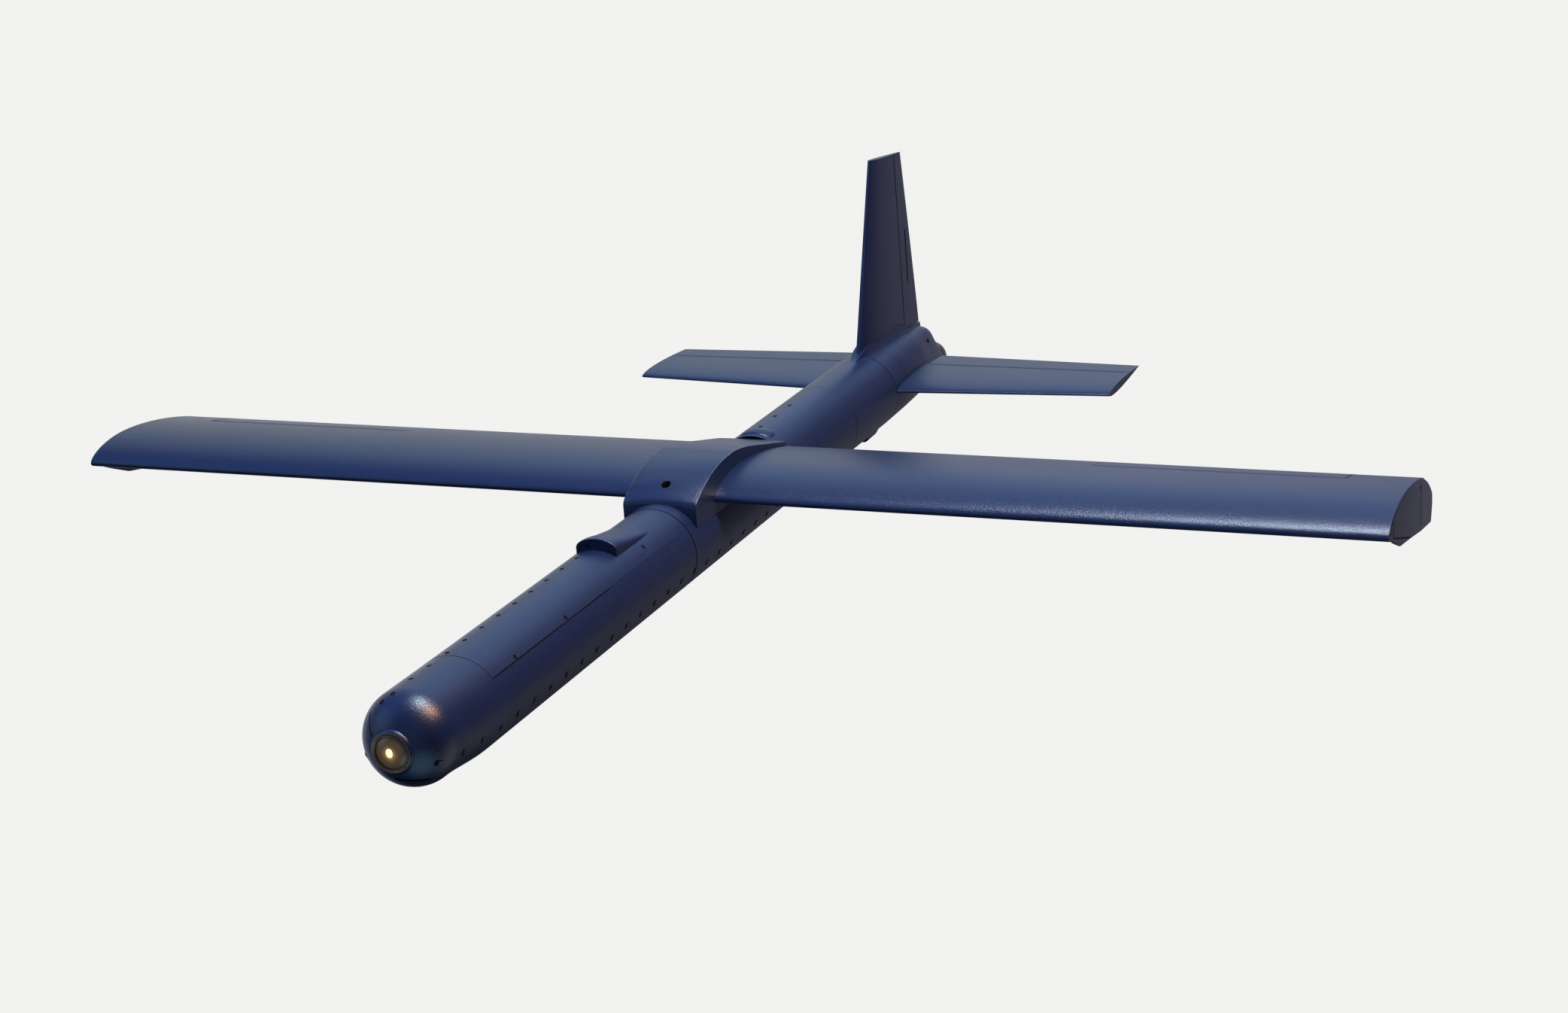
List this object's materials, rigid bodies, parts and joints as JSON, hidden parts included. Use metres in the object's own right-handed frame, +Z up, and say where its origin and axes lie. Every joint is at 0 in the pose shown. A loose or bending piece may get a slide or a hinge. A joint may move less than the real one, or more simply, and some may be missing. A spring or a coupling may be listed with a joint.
{
  "type": "fixed wing drone",
  "caption": "Jet-powered fixed wing drone: tube fuselage with a camera nose, straight wing held by a bolted saddle, tip plates, a single fin and a low-mounted exhaust nozzle.",
  "frame": {"origin": "on the ground under the middle of the object's box, half way between nose and nozzle and half way between the wing tips", "axes": "+X to the port wing tip, -Y to the nose, +Z up"},
  "size_m": [2.4, 2.3366, 0.536],
  "materials": {
    "navy_paint": "satin navy paint with a fine metallic grain on a moulded composite shell",
    "bronze": "satin bronze",
    "lens": "polished amber-coated glass",
    "black_plastic": "matte",
    "aluminium": "machined",
    "composite_panel": "matte woven composite",
    "battery_wrap": "shrink wrap",
    "antenna_ceramic": "matte",
    "black_steel": "black oxide",
    "carbon_tube": "satin woven carbon",
    "steel": "ground",
    "tank_plastic": "translucent matte",
    "nozzle_steel": "heat-tinted"
  },
  "bodies": {
    "airframe": {"nose_cap": "navy_paint", "lens_bezel": "bronze", "nose_lens": "lens", "camera_module": "black_plastic", "nose_joint_ring": "aluminium", "forward_tub": "navy_paint", "forward_hatch": "navy_paint", "center_joint_ring": "aluminium", "dorsal_blister": "navy_paint", "blister_antenna": "antenna_ceramic", "rear_blister": "navy_paint", "avionics_tray": "composite_panel", "battery_pack": "battery_wrap", "autopilot": "aluminium", "radio_module": "black_plastic", "center_fuselage": "navy_paint", "wing_saddle": "navy_paint", "wing_cradle": "composite_panel", "wing_bulkhead": "aluminium", "saddle_bolt": "black_steel", "port_wing": "navy_paint", "starboard_wing": "navy_paint", "port_aileron_servo": "black_plastic", "starboard_aileron_servo": "black_plastic", "port_servo_cover": "composite_panel", "starboard_servo_cover": "composite_panel", "port_tip_plate": "navy_paint", "starboard_tip_plate": "navy_paint", "wing_joiner": "carbon_tube", "fuel_tank": "tank_plastic", "rear_fuselage": "navy_paint", "rear_joint_ring": "aluminium", "tail_cone": "navy_paint", "belly_intake": "navy_paint", "fin": "navy_paint", "rudder_servo": "black_plastic", "fin_fairing": "navy_paint", "port_stabilizer": "navy_paint", "starboard_stabilizer": "navy_paint", "stabilizer_spar": "carbon_tube", "elevator_servo": "black_plastic", "engine_case": "aluminium", "front_bearing": "steel", "rear_bearing": "steel", "exhaust_nozzle": "nozzle_steel", "front_shoe": "aluminium", "rear_shoe": "aluminium"},
    "port_aileron": {"port_aileron": "navy_paint", "port_aileron_rod": "steel"},
    "starboard_aileron": {"starboard_aileron": "navy_paint", "starboard_aileron_rod": "steel"},
    "elevator": {"port_elevator": "navy_paint", "starboard_elevator": "navy_paint", "elevator_tube": "steel"},
    "rudder": {"rudder": "navy_paint", "rudder_rod": "steel"},
    "engine_rotor": {"engine_shaft": "steel", "compressor_wheel": "aluminium", "turbine_wheel": "steel"}
  },
  "joints": [
    {"name": "port_aileron_hinge", "type": "hinge", "parent": "airframe", "child": "port_aileron", "pos_m": [0.66, 0.0903, 0.15951], "axis": [1, 0, 0], "range_deg": [-20, 20]},
    {"name": "starboard_aileron_hinge", "type": "hinge", "parent": "airframe", "child": "starboard_aileron", "pos_m": [-0.66, 0.0903, 0.15951], "axis": [1, 0, 0], "range_deg": [-20, 20]},
    {"name": "elevator_hinge", "type": "hinge", "parent": "airframe", "child": "elevator", "pos_m": [0, 0.9313, 0.0955], "axis": [1, 0, 0], "range_deg": [-20, 20]},
    {"name": "rudder_hinge", "type": "hinge", "parent": "airframe", "child": "rudder", "pos_m": [0, 0.9823, 0.1579], "axis": [0, 0, 1], "range_deg": [-25, 25]},
    {"name": "engine_spin", "type": "hinge", "parent": "airframe", "child": "engine_rotor", "pos_m": [0, 0.8003, 0.054], "axis": [0, 1, 0], "continuous": true}
  ],
  "couplings": [
    {"joint": "starboard_aileron_hinge", "follows": "port_aileron_hinge", "ratio": -1}
  ]
}
